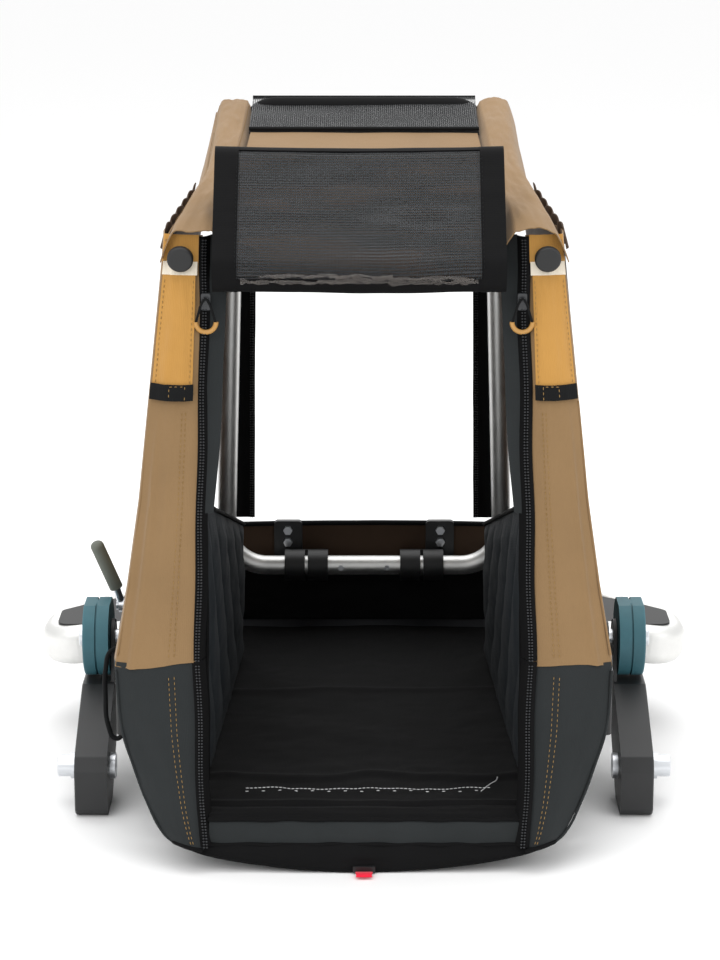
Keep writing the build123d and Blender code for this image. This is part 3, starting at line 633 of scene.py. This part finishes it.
class TRAILER_OT_walls(TrailerPiece, bpy.types.Operator):
    """Hangs the side walls with their lining, the skirts below them and the fabric tub"""

    bl_idname = "trailer.walls"
    bl_label = "Walls and tub"

    def execute(self, context):
        depth = sizes().crease
        for name, side in SIDES:
            first = name == "left"

            def wall(s, t, inset=0.0):
                top = 0.672 + 0.082 * s
                z = 0.2165 + (top - 0.2165) * t
                nx, ny = pillar(1.96, min(z, 0.68))
                if z > 0.68:
                    ny += (z - 0.68) * 1.2
                fx, fy = between(FAR_LINE, z)
                ease = s + (0.10 * math.sin(math.pi * s) * (1 - t)) + (s ** 0.34 - s) * t ** 4
                x = nx + (fx - nx) * ease
                y = ny + (fy - ny) * s
                pull = ripple(s * 2.6 + t, t * 2.2 - s, 21 + side) * depth * 1.6
                pull = pull * bow(s) ** 0.5 * bow(t) ** 0.4
                gather = 0.0022 * math.sin(s * 150) * max(0, t - 0.9) * 10 * bow(min(1, s * 1.6))
                hem = 0.003 * math.sin(s * 17 + side) * max(0, 0.12 - t) * 8
                x += pull + gather + hem - 0.004 * bow(s) * bow(t)
                tuck = max(0.0, (t - 0.5) / 0.5) ** 2
                _, outer, ty, tz = roof_edges(0.985 * (1 - s))
                x = x + (outer + 0.005 - x) * tuck
                y = y + (ty - y) * tuck
                z = z + hem + (tz + 0.003 - z) * tuck
                return on(side, x + inset, y, z)

            sheet = cloth(f"side_wall_{name}", "chassis", "tan_fabric", "tan_polyester",
                          ("side_walls",) if first else (), wall, 150, 100, held="stretched",
                          rests_on=["roof_tube", "side_rails"])
            lining = cloth(f"wall_lining_{name}", "chassis", "brown_fabric", "lining_polyester", (),
                           lambda s, t: wall(0.01 + 0.98 * s, 0.01 + 0.97 * t, 0.0032), 90, 60)
            for piece in (sheet, lining):
                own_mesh(piece)

            def skirt(s, t):
                z = 0.139 + (0.2235 - 0.139) * t
                nx, ny = pillar(1.85, z)
                flare = 0.0035 * math.sin(s * 21 + side) * (1 - t)
                fx = -0.2668
                x = nx + (fx - nx) * min(1, s * 7)
                x = x - flare * min(1, s * 5) + ripple(s * 7, t, 31) * 0.001
                return on(side, x, ny + (0.312 - ny) * s, z)

            cloth(f"skirt_{name}", "chassis", "grey_fabric", "anthracite_polyester",
                  ("skirts",) if first else (), skirt, 130, 16)
            for row, drop in (("a", 0.004), ("b", 0.008)):
                line = [wall(k / 40, 0.004) + Vector((-0.0016 * side, 0, drop)) for k in range(41)]
                stitches(f"hem_stitch_{row}_{name}", "chassis", "tan_fabric", "ochre_thread", line)

        profile = [(0.236, 0.150), (0.236, 0.120), (0.233, 0.080), (0.222, 0.045), (0.204, 0.018),
                   (0.184, 0.001), (0.10, 0.0006), (0, 0.0004)]
        run = [(-x, z) for x, z in profile] + [(x, z) for x, z in reversed(profile[:-1])]

        def shell(u, v):
            x, z = part_way(run, u)
            y = -0.302 + 0.634 * v
            swell = ripple(u * 9, v * 3, 41) * 0.0022 * (1 if z > 0.01 else 0)
            return Vector((x * (1 + swell * 1.5), y, max(z, 0.0003)))

        cloth("tub_shell", "chassis", "grey_fabric", "anthracite_polyester", ("tub_fabric",), shell,
              140, 60, 1.6 * MM)

        def end(u, v):
            half = 0.184 + (0.236 - 0.184) * min(1, v * 2.2) ** 0.6
            return Vector((half * (2 * u - 1), 0.331 + 0.002 * ripple(u * 5, v * 3, 43), 0.001 + 0.149 * v))

        cloth("tub_end", "chassis", "grey_fabric", "anthracite_polyester", (), end, 80, 24, 1.6 * MM)

        def nose(u, v):
            half = 0.176 + 0.006 * v
            edge = abs(2 * u - 1) ** 3 * (1 - v)
            return Vector((half * (2 * u - 1), -0.384 + 0.012 * edge + 0.084 * v, 0.0006 + 0.022 * edge))

        cloth("tub_nose", "chassis", "grey_fabric", "anthracite_polyester", (), nose, 40, 12, 1.6 * MM)
        return {"FINISHED"}


class TRAILER_OT_interior(TrailerPiece, bpy.types.Operator):
    """Lays the mat, sill, apron and pull tab, and quilts the pads inside the cabin"""

    bl_idname = "trailer.interior"
    bl_label = "Interior"

    def execute(self, context):
        def mat(u, v):
            y = -0.352 + 0.622 * v
            half = 0.158 + 0.047 * min(1, max(0, (y + 0.352) / 0.05)) ** 0.5
            x = half * (2 * u - 1)
            wander = y + 0.262 + 0.02 * ripple(x * 4, 0, 5)
            fold = ripple(x * 7, y * 9, 51, 4) * 0.0022 + 0.0030 * math.exp(-(wander / 0.008) ** 2)
            fold += 0.0024 * math.exp(-((y - 0.02 - 0.05 * x) / 0.007) ** 2)
            return Vector((x, y, 0.0625 + max(-0.0012, fold)))

        cloth("floor_cloth", "chassis", "black_fabric", "black_polyester", ("floor_mat",), mat,
              110, 150, 3.5 * MM, held="laid", rests_on=["floor_board"])
        for k, (y, bend) in enumerate(((-0.322, 0.002), (-0.315, 0.004))):
            line = [(x / 100, y + bend * math.sin(x * 0.55 + k) * (1 if abs(x) > 7 else 0.4),
                     0.0655 + 0.0012 * abs(math.sin(x * 0.9 + k))) for x in range(-13, 15)]
            stitches(f"mat_thread_{k}", "chassis", "black_fabric", "white_thread", line, 4 * MM,
                     (0.6 if k else 14.0) * MM, 0.5 * MM)
        tail = [(0.128, -0.322, 0.066), (0.139, -0.305, 0.068), (0.146, -0.292, 0.067),
                (0.148, -0.280, 0.066)]
        pipe("mat_thread_tail", "chassis", "black_fabric", "white_thread", tail, 0.5 * MM)

        def sill(u, v):
            x = SILL_HALF * (2 * u - 1)
            y, z = part_way(SILL_RUN, v)
            return Vector((x, y - 0.0012 * ripple(x * 12, z * 20, 61), z))

        cloth("sill_cloth", "chassis", "grey_fabric", "anthracite_polyester", ("entry_sill",), sill,
              70, 42, 1.6 * MM)

        def brow(u, v):
            x = SILL_HALF * (2 * u - 1)
            y, z = part_way(BROW_RUN, v)
            return Vector((x, y, z + 0.0012 * ripple(x * 8, v * 2, 65)))

        cloth("sill_brow", "chassis", "black_fabric", "black_polyester", (), brow, 70, 42, 1.6 * MM)
        for tag, y, z in (("top", -0.3840, 0.0580), ("foot", -0.3855, 0.0300)):
            line = [(0.0168 * k, y - 0.0008 * math.sin(k * 1.7), z + 0.0006 * math.sin(k * 2.3))
                    for k in range(-10, 11)]
            pipe(f"sill_piping_{tag}", "chassis", "black_fabric", "black_polyester", line, sizes().piping)

        def apron(u, v):
            x = 0.192 * (2 * u - 1)
            sag = bow(u) ** 0.7
            y = -0.3845 - 0.007 * bow(v * 0.75) * sag - 0.002 * v
            z = 0.0305 - 0.0288 * v * (0.10 + 0.90 * sag)
            return Vector((x, y - 0.0010 * ripple(x * 9, v * 2, 63), z))

        cloth("apron_cloth", "chassis", "black_fabric", "black_polyester", ("apron",), apron,
              90, 22, 1.4 * MM, held="hung", rests_on=["sill_tube"])
        rim = [tuple(apron(k / 24, 1.0) + Vector((0, -0.0008, 0.0006))) for k in range(25)]
        pipe("apron_piping", "chassis", "black_fabric", "black_polyester", rim, 1.9 * MM)

        def tab(u, v):
            x = 0.0088 * (2 * u - 1) * (1 + 0.05 * math.sin(v * 6))
            fold = 0.0012 if v > 0.62 else 0
            return Vector((x, -0.3985 - 0.0125 * min(1, v * 1.08), 0.0022 + 0.0016 * bow(v) + fold))

        cloth("red_tab", "tab", "red_webbing", "red_webbing", ("pull_tab",), tab, 14, 20, 1.5 * MM)

        for name, side in SIDES:
            first = name == "left"

            def pad(s, t):
                y = -0.281 + 0.431 * s
                top = 0.379 + (0.235 - 0.379) * s
                z = 0.064 + (top - 0.064) * t
                x = -0.172 + 0.021 * s - 0.002 * (1 - t)
                a, b = s * 9.0 + t * 3.2, t * 7.0
                quilt = min(abs(math.sin(math.pi * a * 0.55)), 1) ** 0.5 * (0.75 + 0.25 * bow(t))
                swell = 0.0062 * quilt * min(1, t * 9, (1 - t) * 9, s * 12, (1 - s) * 12)
                return on(side, x + swell + 0.0009 * ripple(s * 9, b, 71), y, z)

            cushion = cloth(f"quilted_pad_{name}", "chassis", "pad_fabric", "quilted_polyester",
                            ("side_pads",) if first else (), pad, 120, 80, 13 * MM, flip=name == "right")
            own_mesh(cushion)
            rim = [pad(k / 16, 1.0) + Vector((0.001 * side, 0, 0.001)) for k in range(17)]
            rim = [pad(0.0, k / 8) + Vector((0.001 * side, -0.001, 0)) for k in range(8)] + rim
            edge = pipe(f"pad_piping_{name}", "chassis", "pad_fabric", "black_polyester", rim, 2.6 * MM)
            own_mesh(edge)
        return {"FINISHED"}


def roof_edges(s):
    """The left sleeve's inner X, outer X, Y and Z: s runs from the hoop, 0, to the snap button, 1."""
    flare, end = max(0.0, (s - 0.55) / 0.45) ** 1.2, max(0.0, (s - 0.93) / 0.07)
    return (-0.131 - 0.016 * s, -0.184 - 0.033 * flare, 0.205 - 0.449 * s - 0.016 * end ** 0.7,
            0.738 - 0.0760 * s - 0.006 * end ** 1.5)


def roof_height(y):
    """The height of the roof's sheets, which fall from the hoop towards the entry."""
    return 0.7405 + (y - 0.205) * 0.176


class TRAILER_OT_roof(TrailerPiece, bpy.types.Operator):
    """Sews the roof: sleeves on its sides with gathers, the mesh strip and the tan panel"""

    bl_idname = "trailer.roof"
    bl_label = "Roof"

    def execute(self, context):
        for name, side in SIDES:
            first = name == "left"

            def sleeve(u, v):
                inner, outer, cy, cz = roof_edges(v)
                x = inner + (outer - inner) * u
                crown = 0.0200 * (1 - abs(2 * u - 1) ** 3.6)
                crease = ripple(u * 3, v * 6, 81 + side) * 0.0018
                drop = -0.015 * max(0, 2 * u - 1.6) / 0.4 - 0.006 * max(0, 0.4 - 2 * u) / 0.4
                welt = 0.0016 * math.exp(-((u - 0.20) / 0.03) ** 2)
                return on(side, x, cy + crease * 0.3, cz + crown + drop + crease + welt)

            tube = cloth(f"roof_sleeve_{name}", "roof", "tan_fabric", "tan_polyester",
                         ("roof_sleeves",) if first else (), sleeve, 36, 110)
            for row, u in (("a", 0.16), ("b", 0.84)):
                line = [sleeve(u, 0.02 + 0.024 * k) + Vector((0, 0, 0.0012)) for k in range(40)]
                stitches(f"sleeve_stitch_{row}_{name}", "roof", "tan_fabric", "ochre_thread", line)

            # the gathered edge is dressed in the dark brown lining, as painted shade in the hollows between
            # the gathers
            def gather(u, v):
                _, outer, cy, cz = roof_edges(0.62 + 0.31 * v)
                frill = math.sin(v * 33) * (0.35 + 0.65 * u)
                x = outer - 0.002 - 0.005 * u - 0.0065 * frill * bow(v) ** 0.3
                return on(side, x, cy + 0.001 * math.cos(v * 60),
                          cz + 0.004 - 0.024 * u + 0.0030 * math.cos(v * 33))

            frill = cloth(f"roof_gather_{name}", "roof", "brown_fabric", "lining_polyester", (),
                          gather, 10, 170)
            for piece in (tube, frill):
                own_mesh(piece)

        def strip(y0, y1, x0, x1, dip, raise_by):
            def place(u, v):
                y = y0 + (y1 - y0) * v
                x = (x0 + (x1 - x0) * v) * (2 * u - 1)
                z = roof_height(y) + raise_by
                return Vector((x, y, z - dip * bow(u) * bow(v) + 0.0011 * ripple(x * 6, y * 6, 91)))
            return place

        cloth("roof_panel_cloth", "roof", "tan_fabric", "tan_polyester", ("roof_panel",),
              strip(0.098, -0.200, 0.134, 0.146, 0.004, 0.009), 70, 70,
              held="stretched", rests_on=["roof_tube"])
        cloth("roof_net", "roof", "mesh_fabric", "open_mesh", ("roof_mesh",),
              strip(0.226, 0.100, 0.136, 0.136, 0.001, 0.0135), 60, 34, 0.8 * MM, held="stretched",
              rests_on=["hoop_tube"])
        cloth("roof_net_backing", "roof", "mesh_fabric", "black_polyester", (),
              strip(0.200, 0.100, 0.136, 0.136, 0.006, 0.0075), 60, 24, 0.8 * MM)
        for tag, y in (("far", 0.225), ("near", 0.101)):
            line = [(0.0136 * k, y, roof_height(y) + 0.0135) for k in range(-10, 11)]
            pipe(f"roof_binding_{tag}", "roof", "black_fabric", "black_webbing", line, 2.4 * MM)

        def wrap(u, v):
            turn = math.tau * v
            x = 0.150 * (2 * u - 1)
            drop = 0.052 - math.sqrt(0.052 ** 2 - max(0.0, abs(x) - 0.106) ** 2)
            return Vector((x, 0.207 + 0.0142 * math.cos(turn), 0.745 - drop + 0.0142 * math.sin(turn)))

        cloth("hoop_wrap", "hoop", "black_fabric", "black_polyester", (), wrap, 60, 24, 1.0 * MM)
        return {"FINISHED"}


ROLL_TOP, ROLL_LOW, ROLL_R = (-0.191, 0.731), (-0.276, 0.637), 0.0215
ROLL_X = (-0.160, 0.150)


def roll_point(w, grow=0.0):
    """A point round the flattened roll: w runs from its back, over the top, down the front and under."""
    (ay, az), (by, bz) = ROLL_TOP, ROLL_LOW
    length = math.hypot(by - ay, bz - az)
    dy, dz = (by - ay) / length, (bz - az) / length
    ny, nz = dz, -dy
    r = ROLL_R + grow
    arc = math.pi * r
    distance = (w % 1) * (2 * length + 2 * arc)
    if distance < length:
        return by - dy * distance - ny * r, bz - dz * distance - nz * r
    if distance < length + arc:
        a = (distance - length) / r
        return (ay - ny * r * math.cos(a) - dy * r * math.sin(a),
                az - nz * r * math.cos(a) - dz * r * math.sin(a))
    if distance < 2 * length + arc:
        d = distance - length - arc
        return ay + dy * d + ny * r, az + dz * d + nz * r
    a = (distance - 2 * length - arc) / r
    return by + ny * r * math.cos(a) + dy * r * math.sin(a), bz + nz * r * math.cos(a) + dz * r * math.sin(a)


class TRAILER_OT_roll(TrailerPiece, bpy.types.Operator):
    """Rolls up the entry's cover: mesh and clear film between solid hems"""

    bl_idname = "trailer.roll"
    bl_label = "Rolled cover"

    def execute(self, context):
        def layer(x0, x1, w0, w1, grow, wave=0.0012, seed=101):
            def place(u, v):
                x = x0 + (x1 - x0) * u
                w = w0 + (w1 - w0) * v
                y, z = roll_point(w, grow + wave * ripple(x * 7, w * 9, seed))
                sag = 0.0022 * bow((x - ROLL_X[0]) / (ROLL_X[1] - ROLL_X[0]))
                return Vector((x, y, z - sag))
            return place

        x0, x1 = ROLL_X
        cloth("roll_core", "roof", "mesh_fabric", "lining_polyester", ("cover_roll",),
              layer(x0 + 0.004, x1 - 0.004, 0, 1, -0.0040), 60, 90, 1.2 * MM)
        cloth("roll_net", "roof", "mesh_fabric", "open_mesh", (),
              layer(x0 + 0.02, x1 - 0.02, 0, 1, 0), 110, 130, 0.7 * MM)
        cloth("roll_net_inner", "roof", "mesh_fabric", "open_mesh", (),
              layer(x0 + 0.02, x1 - 0.02, 0.03, 0.97, -0.0022, 0.0016, 107), 90, 110, 0.7 * MM)
        for tag, a, b in (("left", x0, x0 + 0.026), ("right", x1 - 0.026, x1)):
            cloth(f"roll_hem_{tag}", "roof", "mesh_fabric", "black_polyester", (),
                  layer(a, b, 0, 1, 0.0014, 0.0008), 12, 130)
            inner = b if tag == "left" else a
            sewn = inner + (-0.002 if tag == "left" else 0.002)
            line = [Vector((sewn, *roll_point(0.42 + 0.007 * k, 0.0030))) - Vector((0, 0, 0.001))
                    for k in range(62)]
            stitches(f"roll_hem_stitch_{tag}", "roof", "mesh_fabric", "black_webbing", line)
            # the turns of the roll, seen at its end
            edge = a if tag == "left" else b
            spiral = []
            for k in range(90):
                shrink = -0.0015 - 0.0002 * k
                y, z = roll_point(0.5 + k / 30, shrink)
                spiral.append((edge + (0.0015 if tag == "left" else -0.0015), y, z - 0.001))
            pipe(f"roll_turns_{tag}", "roof", "mesh_fabric", "black_polyester", spiral, 1.6 * MM, sides=1)

            def cheek(u, v):
                y, z = roll_point(u, -0.003)
                my, mz = (ROLL_TOP[0] + ROLL_LOW[0]) / 2, (ROLL_TOP[1] + ROLL_LOW[1]) / 2
                keep = 0.05 + 0.93 * v
                x = edge + (0.004 if tag == "left" else -0.004)
                return Vector((x, my + (y - my) * keep, mz + (z - mz) * keep - 0.001))

            cloth(f"roll_cheek_{tag}", "roof", "mesh_fabric", "black_polyester", (), cheek, 60, 8, 1.2 * MM)
        cloth("roll_top_band", "roof", "mesh_fabric", "black_polyester", (),
              layer(x0 + 0.022, x1 - 0.022, 0.335, 0.475, 0.0012, 0.0007), 90, 14)
        cloth("roll_low_band", "roof", "mesh_fabric", "black_polyester", (),
              layer(x0 + 0.022, x1 - 0.022, 0.880, 0.935, 0.0012, 0.0012), 90, 12)
        # the film's edge peeps out in bright crumpled strips above the lower band
        strips = ((0.872, 0.008, x0 + 0.03, x1 - 0.03), (0.858, 0.004, x0 + 0.05, x1 - 0.12),
                  (0.864, 0.004, x0 + 0.13, x1 - 0.035))
        for k, (w, tall, a, b) in enumerate(strips):
            def crumple(u, v):
                x = a + (b - a) * u
                y, z = roll_point(w + tall * v + 0.002 * ripple(x * 30, k, 113),
                                  0.0026 + 0.0016 * ripple(x * 60, v * 3 + k, 117, 4))
                return Vector((x, y, z - 0.0022))

            cloth(f"film_fold_{k}", "roof", "mesh_fabric", "clear_vinyl", (), crumple, 200, 6, 0.5 * MM)
        return {"FINISHED"}


class TRAILER_OT_far_end(TrailerPiece, bpy.types.Operator):
    """Sews the towing end: the low panel, the window's binding, bands and zips, and the elastic loop"""

    bl_idname = "trailer.far_end"
    bl_label = "Far end"

    def execute(self, context):
        def panel(u, v):
            x = WINDOW_HALF * (2 * u - 1)
            z = 0.057 + 0.129 * v
            y = 0.3265 - 0.0012 * v + 0.0010 * ripple(x * 8, z * 12, 121)
            return Vector((x, y, z + 0.002 * bow(u) * v))

        cloth("far_panel_cloth", "chassis", "brown_fabric", "lining_polyester", ("far_panel",), panel,
              80, 40, 1.6 * MM, held="stretched", rests_on=["far_cross_tube"])

        # a black sheet laid over the lower far panel: painted shadow beneath the far cross tube
        def shade(u, v):
            x = WINDOW_HALF * (2 * u - 1)
            return Vector((x, 0.3215 + 0.001 * ripple(u * 4, v * 4, 123), 0.057 + 0.085 * v))

        cloth("far_panel_painted_shadow", "chassis", "black_fabric", "black_polyester", (), shade, 60, 20, 1.4 * MM)
        line = [tuple(panel(k / 20, 1.0)) for k in range(21)]
        pipe("window_sill_binding", "chassis", "black_fabric", "black_webbing", line, 3.4 * MM)
        for name, side in SIDES:
            first = name == "left"

            def strip(z0, z1, x0, x1, back):
                def place(u, v):
                    z = z0 + (z1 - z0) * v
                    t = (z - 0.142) / 0.603
                    y = 0.285 - 0.078 * t + back
                    lean = 0.010 * t
                    return on(side, x0 + (x1 - x0) * u + lean, y + 0.0008 * ripple(u * 3, z * 12, 131), z)
                return place

            band = strip(0.205, 0.715, -0.1680, -0.1430, 0.015)
            cloth(f"window_band_{name}", "hoop", "black_fabric", "black_polyester",
                  ("window_bands",) if first else (), band, 10, 80, 1.6 * MM)
            for row, u in (("a", 0.78), ("b", 0.88)):
                line = [band(u, k / 50) + Vector((0, -0.0022, 0)) for k in range(51)]
                stitches(f"window_teeth_{row}_{name}", "hoop", "zip", "zip_coil", line,
                         1.8 * MM, 1.6 * MM, 1.2 * MM)
        low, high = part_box("side_loop")
        x0, x1, z0, z1 = low.x, high.x, low.z, high.z
        loop = [(x1 - 0.004, -0.206, z1 - 0.003), (x0 + 0.004, -0.212, z1 - 0.004),
                (x0 - 0.002, -0.216, z1 - 0.022), (x0 - 0.003, -0.220, (z0 + z1) / 2),
                (x0, -0.224, z0 + 0.020), (x0 + 0.008, -0.226, z0 + 0.006),
                (x1 - 0.008, -0.225, z0 + 0.010), (x1 - 0.003, -0.223, z0 + 0.036),
                (x1 - 0.0025, -0.222, z0 + 0.064)]
        pipe("elastic_loop", "chassis", "black_fabric", "black_webbing", loop, 2.8 * MM,
             ("side_loop",), sides=5)
        return {"FINISHED"}


# each light: its name, its place, the length of its sides and its power in watts
LIGHTS = (
    ("key_panel", (-1.6, -2.6, 2.6), 2.2, 24),
    ("fill_panel", (2.4, -2.2, 1.6), 2.0, 12),
    ("top_panel", (0, 0.2, 3.2), 3.0, 52),
    ("back_panel", (0, 2.6, 1.8), 2.4, 18),
)
CAMERA_PLACE = (0, -3.090, 1.156)
CAMERA_DOWN = 14.92
CAMERA_LENS = 101.25


class TRAILER_OT_stage(TrailerPiece, bpy.types.Operator):
    """Sets the floor, the soft lights and the camera"""

    bl_idname = "trailer.stage"
    bl_label = "Stage"

    def execute(self, context):
        bpy.ops.object.select_all(action="DESELECT")
        bpy.ops.mesh.primitive_plane_add(size=24, location=(0, 4, 0))
        floor = bpy.context.object
        floor.name = "floor"
        bpy.ops.object.transform_apply(location=True)
        mat, shader = start("white_paper")
        shader.inputs["Roughness"].default_value = 0.9
        shader.inputs["Specular IOR Level"].default_value = 0.1
        shader.inputs["Base Color"].default_value = (0.97, 0.97, 0.97, 1)
        floor.data.materials.append(mat)

        for name, place, size, power in LIGHTS:
            bpy.ops.object.light_add(type="AREA", location=place)
            lamp = bpy.context.object
            lamp.name = name
            lamp.data.shape = "SQUARE"
            lamp.data.size = size
            lamp.data.energy = power
            aim = Vector((0, 0, 0.35)) - Vector(place)
            lamp.rotation_euler = aim.to_track_quat("-Z", "Y").to_euler()

        world = bpy.data.worlds.new("studio")
        bpy.context.scene.world = world
        world.use_nodes = True
        world.node_tree.nodes["Background"].inputs["Color"].default_value = (1, 1, 1, 1)
        world.node_tree.nodes["Background"].inputs["Strength"].default_value = 1.0
        bpy.context.scene.view_settings.view_transform = "Standard"

        tilt = math.radians(90 - CAMERA_DOWN)
        bpy.ops.object.camera_add(location=CAMERA_PLACE, rotation=(tilt, 0, 0))
        camera = bpy.context.object
        camera.data.lens = CAMERA_LENS
        camera.data.sensor_width = 36
        camera.data.shift_x = -0.0042
        bpy.context.scene.camera = camera
        return {"FINISHED"}


class TRAILER_PT_panel(bpy.types.Panel):
    """Lists the trailer's pieces in the sidebar"""

    bl_idname = "TRAILER_PT_panel"
    bl_label = "Trailer"
    bl_space_type = "VIEW_3D"
    bl_region_type = "UI"
    bl_category = "Trailer"

    def draw(self, context):
        for group in (context.scene.trailer_sizes, context.scene.trailer_colours):
            for key in group.__annotations__:
                self.layout.prop(group, key)
        for operator in OPERATORS:
            self.layout.operator(operator.bl_idname)


OPERATORS = (TRAILER_OT_hard_parts, TRAILER_OT_pillars, TRAILER_OT_zips, TRAILER_OT_walls,
             TRAILER_OT_interior, TRAILER_OT_roof, TRAILER_OT_roll, TRAILER_OT_far_end, TRAILER_OT_stage)
CLASSES = (TrailerSizes, TrailerColours) + OPERATORS + (TRAILER_PT_panel,)


def register():
    """Registers the classes and puts the settings on the scene."""
    for cls in CLASSES:
        bpy.utils.register_class(cls)
    bpy.types.Scene.trailer_sizes = bpy.props.PointerProperty(type=TrailerSizes)
    bpy.types.Scene.trailer_colours = bpy.props.PointerProperty(type=TrailerColours)


def unregister():
    """Takes the settings and the classes away again."""
    del bpy.types.Scene.trailer_colours
    del bpy.types.Scene.trailer_sizes
    for cls in reversed(CLASSES):
        bpy.utils.unregister_class(cls)


def main():
    """Builds every piece in order."""
    register()
    bpy.ops.trailer.hard_parts()
    bpy.ops.trailer.pillars()
    bpy.ops.trailer.zips()
    bpy.ops.trailer.walls()
    bpy.ops.trailer.interior()
    bpy.ops.trailer.roof()
    bpy.ops.trailer.roll()
    bpy.ops.trailer.far_end()
    bpy.ops.trailer.stage()


if __name__ == "__main__":
    main()
